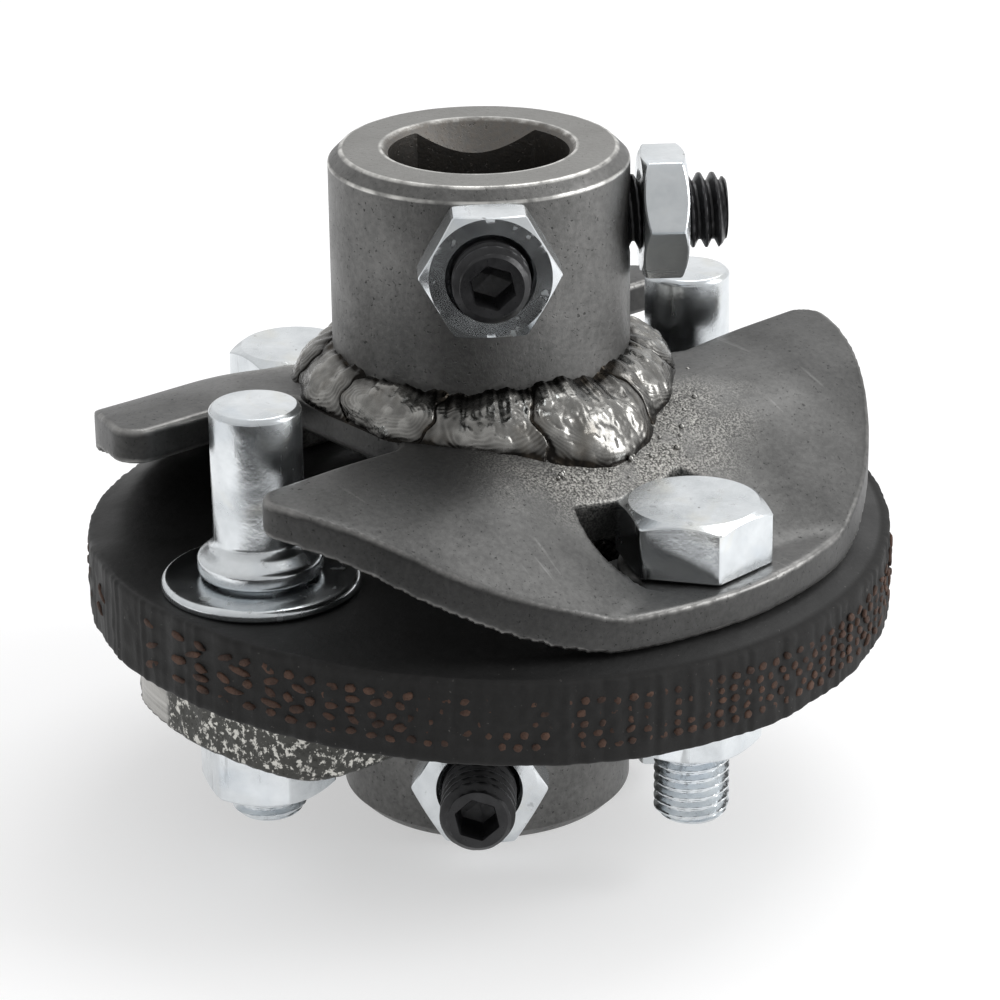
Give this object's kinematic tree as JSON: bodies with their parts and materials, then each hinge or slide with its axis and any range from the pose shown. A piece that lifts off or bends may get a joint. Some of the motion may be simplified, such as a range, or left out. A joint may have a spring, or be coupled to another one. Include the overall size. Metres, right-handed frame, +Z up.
{
  "type": "flexible disc shaft coupling",
  "caption": "Flexible shaft coupler: steel hubs with set screws joined through a corded rubber disc, with a bent bolted flange and stop pins that stand in its notches.",
  "frame": {"origin": "centre of the lower hub's end face", "axes": "+Z up the shaft axis towards the upper hub; X through the stop pins, Y through the clamp bolts"},
  "size_m": [0.0872, 0.0872, 0.0739],
  "materials": {
    "bare_steel": "bare tumbled steel, satin, with bright worn edges",
    "weld_steel": "rippled bright weld metal with dark crevices",
    "zinc_plate": "bright bluish zinc plating",
    "black_oxide": "black oxide steel, semi-gloss",
    "rubber": "matte black rubber with brown cord ends in the rim"
  },
  "bodies": {
    "lower_half": {"lower_hub": "bare_steel", "lower_flange": "bare_steel", "lower_weld": "weld_steel", "stop_pin_left": "zinc_plate", "stop_pin_right": "zinc_plate", "pin_nut_left": "zinc_plate", "pin_nut_right": "zinc_plate"},
    "pin_washers": {"pin_washer_left": "zinc_plate", "pin_washer_right": "zinc_plate"},
    "disc": {"coupling_disc": "rubber"},
    "upper_half": {"upper_hub": "bare_steel", "upper_flange": "bare_steel", "upper_weld": "weld_steel", "clamp_bolt_front": "zinc_plate", "clamp_bolt_back": "zinc_plate", "bolt_washer_front": "zinc_plate", "bolt_washer_back": "zinc_plate", "bolt_nut_front": "zinc_plate", "bolt_nut_back": "zinc_plate"},
    "upper_front_screw": {"upper_set_screw_front": "black_oxide"},
    "upper_front_nut": {"upper_jam_nut_front": "zinc_plate"},
    "upper_side_screw": {"upper_set_screw_side": "black_oxide"},
    "upper_side_nut": {"upper_jam_nut_side": "zinc_plate"},
    "lower_front_screw": {"lower_set_screw_front": "black_oxide"},
    "lower_front_nut": {"lower_jam_nut_front": "zinc_plate"},
    "lower_side_screw": {"lower_set_screw_side": "black_oxide"},
    "lower_side_nut": {"lower_jam_nut_side": "zinc_plate"}
  },
  "joints": [
    {"name": "flex_about_pin_line", "type": "hinge", "parent": "lower_half", "child": "pin_washers", "pos_m": [0, 0, 0.0285], "axis": [1, 0, 0], "range_deg": [-2.5, 2.5], "stiffness_Nm_per_rad": 8, "deforming": ["coupling_disc"]},
    {"name": "wind_up", "type": "hinge", "parent": "pin_washers", "child": "disc", "pos_m": [0, 0, 0.0285], "axis": [0, 0, 1], "range_deg": [-7.5, 7.5], "stiffness_Nm_per_rad": 10, "deforming": ["coupling_disc"]},
    {"name": "flex_about_bolt_line", "type": "hinge", "parent": "disc", "child": "upper_half", "pos_m": [0, 0, 0.0285], "axis": [0, 1, 0], "range_deg": [-2.5, 2.5], "stiffness_Nm_per_rad": 8, "deforming": ["coupling_disc"]},
    {"name": "upper_front_screw_feed", "type": "slide", "parent": "upper_half", "child": "upper_front_screw", "axis": [-0.6266, -0.7793, 0], "range_m": [-0.003, 0.003]},
    {"name": "upper_front_nut_turn", "type": "hinge", "parent": "upper_half", "child": "upper_front_nut", "pos_m": [0, 0, 0.0665], "axis": [-0.6266, -0.7793, 0], "range_deg": [-30, 30]},
    {"name": "upper_side_screw_feed", "type": "slide", "parent": "upper_half", "child": "upper_side_screw", "axis": [0.7793, -0.6266, 0], "range_m": [-0.003, 0.003]},
    {"name": "upper_side_nut_turn", "type": "hinge", "parent": "upper_half", "child": "upper_side_nut", "pos_m": [0, 0, 0.0661], "axis": [0.7793, -0.6266, 0], "range_deg": [-30, 30]},
    {"name": "lower_front_screw_feed", "type": "slide", "parent": "lower_half", "child": "lower_front_screw", "axis": [-0.6921, -0.7218, 0], "range_m": [-0.003, 0.003]},
    {"name": "lower_front_nut_turn", "type": "hinge", "parent": "lower_half", "child": "lower_front_nut", "pos_m": [0, 0, 0.0094], "axis": [-0.6921, -0.7218, 0], "range_deg": [-30, 30]},
    {"name": "lower_side_screw_feed", "type": "slide", "parent": "lower_half", "child": "lower_side_screw", "axis": [0.7218, -0.6921, 0], "range_m": [-0.003, 0.003]},
    {"name": "lower_side_nut_turn", "type": "hinge", "parent": "lower_half", "child": "lower_side_nut", "pos_m": [0, 0, 0.0094], "axis": [0.7218, -0.6921, 0], "range_deg": [-30, 30]}
  ]
}
